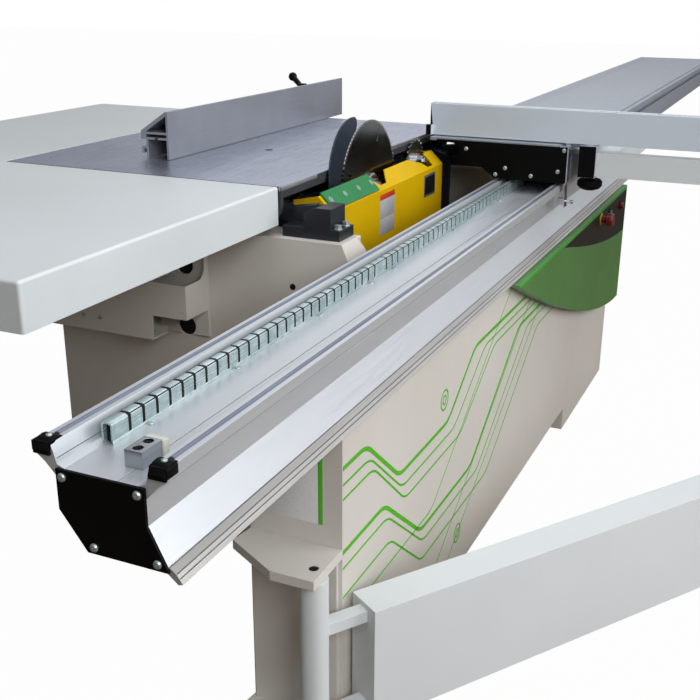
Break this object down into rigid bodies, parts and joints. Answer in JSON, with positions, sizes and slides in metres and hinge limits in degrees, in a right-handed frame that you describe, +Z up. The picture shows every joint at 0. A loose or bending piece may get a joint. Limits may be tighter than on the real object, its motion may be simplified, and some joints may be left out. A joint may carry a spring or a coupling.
{
  "type": "sliding table saw",
  "caption": "Sliding table saw with a tilting blade unit, a scoring blade, an aluminium beam with a sliding table, a crosscut outrigger on a swing arm, a rip fence and side tables.",
  "frame": {"origin": "on the floor, at the centre of the rectangle of four floor bolts", "axes": "+Y feed direction, from the infeed side to the outfeed side; +X towards the rip fence, away from the sliding table; +Z up"},
  "size_m": [3.026, 4.9735, 1.001],
  "materials": {
    "white_enamel": "satin light warm grey enamel",
    "ground_iron": "ground top",
    "anodised_aluminium": "satin anodised",
    "black_plastic": "fine grain",
    "zinc_steel": "zinc plated",
    "bright_steel": "ground bright",
    "green_enamel": "satin enamel",
    "yellow_enamel": "satin enamel",
    "red_plastic": "gloss",
    "blade_steel": "dark ground",
    "dark_casting": "dark enamel",
    "motor_paint": "dark blue grey enamel",
    "belt_rubber": "matt",
    "white_nylon": "natural",
    "green_plastic": "gloss",
    "grey_enamel": "dark grey enamel"
  },
  "bodies": {
    "base": {"base_frame": "white_enamel", "swing_arm_console": "white_enamel", "main_table": "ground_iron", "outfeed_extension_table": "white_enamel", "side_extension_table": "white_enamel", "extension_brackets": "white_enamel", "fence_rail": "bright_steel", "fence_rail_brackets": "dark_casting", "beam": "anodised_aluminium", "beam_end_plates": "black_plastic", "base_fasteners": "zinc_steel", "guide_rods": "bright_steel", "rail_end_caps": "black_plastic", "index_rack": "zinc_steel", "end_stops": "anodised_aluminium", "stop_bumpers": "white_nylon", "beam_supports": "dark_casting", "control_fairing": "green_enamel", "control_panel": "black_plastic", "trunnion_brackets": "dark_casting", "dust_port": "grey_enamel", "arm_pin": "bright_steel"},
    "emergency_stop": {"emergency_stop": "red_plastic"},
    "start_button": {"start_button": "green_plastic"},
    "stop_button": {"stop_button": "red_plastic"},
    "main_switch": {"main_switch_knob": "red_plastic"},
    "door": {"cabinet_door": "white_enamel"},
    "door_latch": {"door_knob": "black_plastic"},
    "tilt_wheel": {"tilt_handwheel": "black_plastic"},
    "lift_wheel": {"lift_handwheel": "black_plastic"},
    "tilt_unit": {"tilt_frame": "dark_casting", "guard_cover": "yellow_enamel", "guard_plate": "green_enamel"},
    "lift_unit": {"saw_carriage": "dark_casting", "motor": "motor_paint", "riving_knife": "blade_steel", "drive_belt": "belt_rubber"},
    "arbor": {"arbor_shaft": "bright_steel", "blade": "blade_steel", "flange_nut": "bright_steel"},
    "motor_rotor": {"motor_pulley": "dark_casting"},
    "scoring": {"scoring_blade": "blade_steel", "scoring_arbor": "bright_steel"},
    "fence_head": {"fence_body": "dark_casting"},
    "rip_fence": {"rip_fence": "anodised_aluminium"},
    "fence_clamp": {"fence_lever": "black_plastic"},
    "sliding_table": {"carriage": "anodised_aluminium", "carriage_end_plates": "black_plastic", "carriage_screws": "zinc_steel", "stop_hook": "bright_steel"},
    "roller_cage": {"roller_cage": "black_plastic"},
    "outrigger": {"outrigger_frame": "white_enamel", "outrigger_rail": "anodised_aluminium"},
    "outrigger_clamp": {"outrigger_knob": "black_plastic"},
    "crosscut": {"crosscut_fence": "anodised_aluminium"},
    "extension": {"fence_extension": "anodised_aluminium"},
    "stop_carrier": {"stop_block": "dark_casting"},
    "flip_stop": {"flip_stop": "black_plastic"},
    "swing_arm": {"arm_outer": "white_enamel"},
    "arm_slide": {"arm_inner": "anodised_aluminium"}
  },
  "joints": [
    {"name": "emergency_stop_press", "type": "slide", "parent": "base", "child": "emergency_stop", "axis": [1, 0, 0], "range_m": [0, 0.004], "stiffness_N_per_m": 900, "springref_m": -0.001},
    {"name": "start_button_press", "type": "slide", "parent": "base", "child": "start_button", "axis": [1, 0, 0], "range_m": [0, 0.003], "stiffness_N_per_m": 600, "springref_m": -0.001},
    {"name": "stop_button_press", "type": "slide", "parent": "base", "child": "stop_button", "axis": [1, 0, 0], "range_m": [0, 0.003], "stiffness_N_per_m": 600, "springref_m": -0.001},
    {"name": "main_switch_turn", "type": "hinge", "parent": "base", "child": "main_switch", "pos_m": [0.47, -0.41, 0.6], "axis": [1, 0, 0], "range_deg": [0, 90]},
    {"name": "door_hinge", "type": "hinge", "parent": "base", "child": "door", "pos_m": [0.478, 0.338, 0.385], "axis": [0, 0, 1], "range_deg": [0, 110]},
    {"name": "door_latch_turn", "type": "hinge", "parent": "door", "child": "door_latch", "pos_m": [0.48, -0.145, 0.385], "axis": [1, 0, 0], "range_deg": [0, 90]},
    {"name": "saw_tilt", "type": "hinge", "parent": "base", "child": "tilt_unit", "pos_m": [-0.1, 0, 0.88], "axis": [0, 1, 0], "range_deg": [0, 45]},
    {"name": "saw_lift", "type": "slide", "parent": "tilt_unit", "child": "lift_unit", "axis": [0, 0, 1], "range_m": [-0.085, 0.013]},
    {"name": "arbor_spin", "type": "hinge", "parent": "lift_unit", "child": "arbor", "pos_m": [-0.1, 0.11, 0.8045], "axis": [1, 0, 0], "continuous": true},
    {"name": "motor_spin", "type": "hinge", "parent": "lift_unit", "child": "motor_rotor", "pos_m": [0.08, 0.17, 0.6195], "axis": [1, 0, 0], "continuous": true},
    {"name": "scoring_spin", "type": "hinge", "parent": "tilt_unit", "child": "scoring", "pos_m": [-0.1, -0.19, 0.822], "axis": [1, 0, 0], "continuous": true},
    {"name": "tilt_wheel_turn", "type": "hinge", "parent": "base", "child": "tilt_wheel", "pos_m": [-0.02, -0.552, 0.52], "axis": [0, 1, 0], "range_deg": [-5, 1625]},
    {"name": "lift_wheel_turn", "type": "hinge", "parent": "base", "child": "lift_wheel", "pos_m": [0.25, -0.552, 0.52], "axis": [0, 1, 0], "range_deg": [-1540, 240]},
    {"name": "fence_travel", "type": "slide", "parent": "base", "child": "fence_head", "axis": [1, 0, 0], "range_m": [-0.2, 0.6]},
    {"name": "rip_fence_slide", "type": "slide", "parent": "fence_head", "child": "rip_fence", "axis": [0, 1, 0], "range_m": [-0.6, 0.15]},
    {"name": "fence_clamp_turn", "type": "hinge", "parent": "fence_head", "child": "fence_clamp", "pos_m": [0.4, -0.532, 0.944], "axis": [0, 0, 1], "range_deg": [0, 90]},
    {"name": "sliding_table_travel", "type": "slide", "parent": "base", "child": "sliding_table", "axis": [0, 1, 0], "range_m": [0, 3.3]},
    {"name": "roller_cage_travel", "type": "slide", "parent": "base", "child": "roller_cage", "axis": [0, 1, 0], "range_m": [0, 1.66]},
    {"name": "outrigger_slide", "type": "slide", "parent": "sliding_table", "child": "outrigger", "axis": [0, -1, 0], "range_m": [0, 2.4]},
    {"name": "outrigger_clamp_turn", "type": "hinge", "parent": "outrigger", "child": "outrigger_clamp", "pos_m": [-0.534, -0.3, 0.79], "axis": [0, 0, 1], "range_deg": [0, 270]},
    {"name": "crosscut_angle", "type": "hinge", "parent": "outrigger", "child": "crosscut", "pos_m": [-0.53, -0.29, 0.883], "axis": [0, 0, 1], "range_deg": [0, 45]},
    {"name": "extension_pull", "type": "slide", "parent": "crosscut", "child": "extension", "axis": [-1, 0, 0], "range_m": [0, 0.7]},
    {"name": "stop_travel", "type": "slide", "parent": "crosscut", "child": "stop_carrier", "axis": [1, 0, 0], "range_m": [-0.4, 0.9]},
    {"name": "stop_flip", "type": "hinge", "parent": "stop_carrier", "child": "flip_stop", "pos_m": [-1.386, -0.298, 0.989], "axis": [-1, 0, 0], "range_deg": [0, 95]},
    {"name": "arm_swing", "type": "hinge", "parent": "base", "child": "swing_arm", "pos_m": [-0.452, 1.117, 0.25], "axis": [0, 0, -1], "range_deg": [-1, 101.5]},
    {"name": "arm_telescope", "type": "slide", "parent": "swing_arm", "child": "arm_slide", "axis": [-0.5632, -0.8263, 0], "range_m": [-0.48, 0.05]}
  ],
  "couplings": [
    {"joint": "motor_spin", "follows": "arbor_spin", "ratio": 0.5937},
    {"joint": "tilt_wheel_turn", "follows": "saw_tilt", "ratio": 36},
    {"joint": "lift_wheel_turn", "follows": "saw_lift", "rad_per_m": 314.16},
    {"joint": "roller_cage_travel", "follows": "sliding_table_travel", "ratio": 0.5},
    {"joint": "arm_swing", "follows": "sliding_table_travel", "rad_per_m": 0.5345},
    {"joint": "arm_telescope", "follows": "sliding_table_travel", "ratio": -0.1433}
  ]
}
